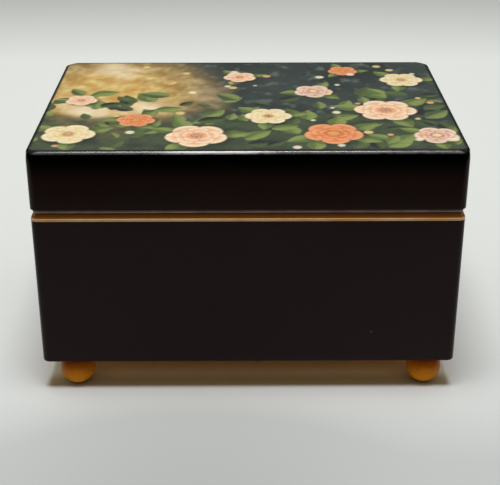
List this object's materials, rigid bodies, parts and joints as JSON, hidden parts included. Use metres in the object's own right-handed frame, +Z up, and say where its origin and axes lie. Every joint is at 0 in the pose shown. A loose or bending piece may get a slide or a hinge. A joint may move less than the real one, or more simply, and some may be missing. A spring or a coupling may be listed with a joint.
{
  "type": "music box",
  "caption": "Hinged lacquered keepsake box on ball feet, with a key-wound cylinder and comb movement under glass.",
  "frame": {"origin": "centre of the bounding box at the table, under the four ball feet", "axes": "+X to the box's right seen from the front, +Y to the hinged back, +Z up"},
  "size_m": [0.152, 0.1084, 0.0945],
  "materials": {
    "lacquer": "glossy black-brown lacquer on wood",
    "gilt": "gold paint under varnish on a wood moulding",
    "foot_stain": "glossy amber-stained turned wood",
    "print": "printed paper under satin varnish",
    "velvet": "wine-red velvet",
    "cover_glass": "clear polished sheet",
    "mirror": "silvered glass",
    "brass": "polished brass",
    "steel": "fine ground steel",
    "casting": "nickel-plated casting",
    "nylon": "moulded white nylon"
  },
  "bodies": {
    "case": {"bottom_board": "lacquer", "case_front": "lacquer", "case_back": "lacquer", "case_left": "lacquer", "case_right": "lacquer", "rim_front": "gilt", "rim_back": "gilt", "rim_left": "gilt", "rim_right": "gilt", "ball_foot_front_left": "foot_stain", "ball_foot_front_right": "foot_stain", "ball_foot_back_left": "foot_stain", "ball_foot_back_right": "foot_stain", "long_partition": "lacquer", "cross_partition": "lacquer", "tray_liner": "velvet", "tray_pad": "velvet", "ring_cell_pad": "velvet", "cover_ledge_left": "lacquer", "cover_ledge_right": "lacquer", "movement_cover": "cover_glass", "hinge_left_body_leaf": "brass", "hinge_right_body_leaf": "brass", "hinge_left_pin": "brass", "hinge_right_pin": "brass", "bedplate": "casting", "movement_screw_1": "steel", "movement_screw_2": "steel", "movement_screw_3": "steel", "comb": "steel", "comb_screw_1": "steel", "comb_screw_2": "steel", "governor_frame": "casting", "governor_cap": "casting", "stop_bush": "brass", "return_spring": "steel"},
    "lid": {"lid_front_rail": "lacquer", "lid_back_rail": "lacquer", "lid_left_rail": "lacquer", "lid_right_rail": "lacquer", "lid_board": "lacquer", "lid_picture": "print", "lid_lining": "velvet", "lid_mirror": "mirror", "hinge_left_lid_leaf": "brass", "hinge_right_lid_leaf": "brass"},
    "winding": {"winding_key": "steel", "winding_arbor": "steel"},
    "barrel": {"spring_barrel": "brass", "crown_wheel": "brass", "mainspring": "steel"},
    "cylinder": {"pinned_cylinder": "brass", "cylinder_arbor": "steel", "cylinder_wheel": "brass"},
    "idler": {"worm_wheel": "nylon", "idler_arbor": "steel"},
    "governor": {"worm_shaft": "steel", "governor_fan": "nylon"},
    "stop": {"stop_wire": "steel", "stop_collar": "brass"}
  },
  "joints": [
    {"name": "lid_hinge", "type": "hinge", "parent": "case", "child": "lid", "pos_m": [0, 0.05265, 0.07255], "axis": [-1, 0, 0], "range_deg": [0, 100]},
    {"name": "stop_slide", "type": "slide", "parent": "case", "child": "stop", "axis": [0, 0, 1], "range_m": [0, 0.003], "deforming": ["return_spring"]},
    {"name": "key_turn", "type": "hinge", "parent": "case", "child": "winding", "pos_m": [-0.0581, 0.02935, 0.0106], "axis": [0, 0, 1], "continuous": true},
    {"name": "barrel_spin", "type": "hinge", "parent": "case", "child": "barrel", "pos_m": [-0.0581, 0.02935, 0.0187], "axis": [0, 0, 1], "continuous": true},
    {"name": "cylinder_spin", "type": "hinge", "parent": "case", "child": "cylinder", "pos_m": [-0.0462, 0.02935, 0.03147], "axis": [1, 0, 0], "continuous": true},
    {"name": "idler_spin", "type": "hinge", "parent": "case", "child": "idler", "pos_m": [-0.0217, 0.02253, 0.02753], "axis": [1, 0, 0], "continuous": true},
    {"name": "governor_spin", "type": "hinge", "parent": "case", "child": "governor", "pos_m": [-0.0217, 0.01773, 0.02753], "axis": [0, 0, 1], "continuous": true}
  ],
  "couplings": [
    {"joint": "stop_slide", "follows": "lid_hinge", "m_per_rad": 0.0017189},
    {"joint": "cylinder_spin", "follows": "barrel_spin", "ratio": 3},
    {"joint": "idler_spin", "follows": "barrel_spin", "ratio": -12},
    {"joint": "governor_spin", "follows": "barrel_spin", "ratio": -144}
  ]
}
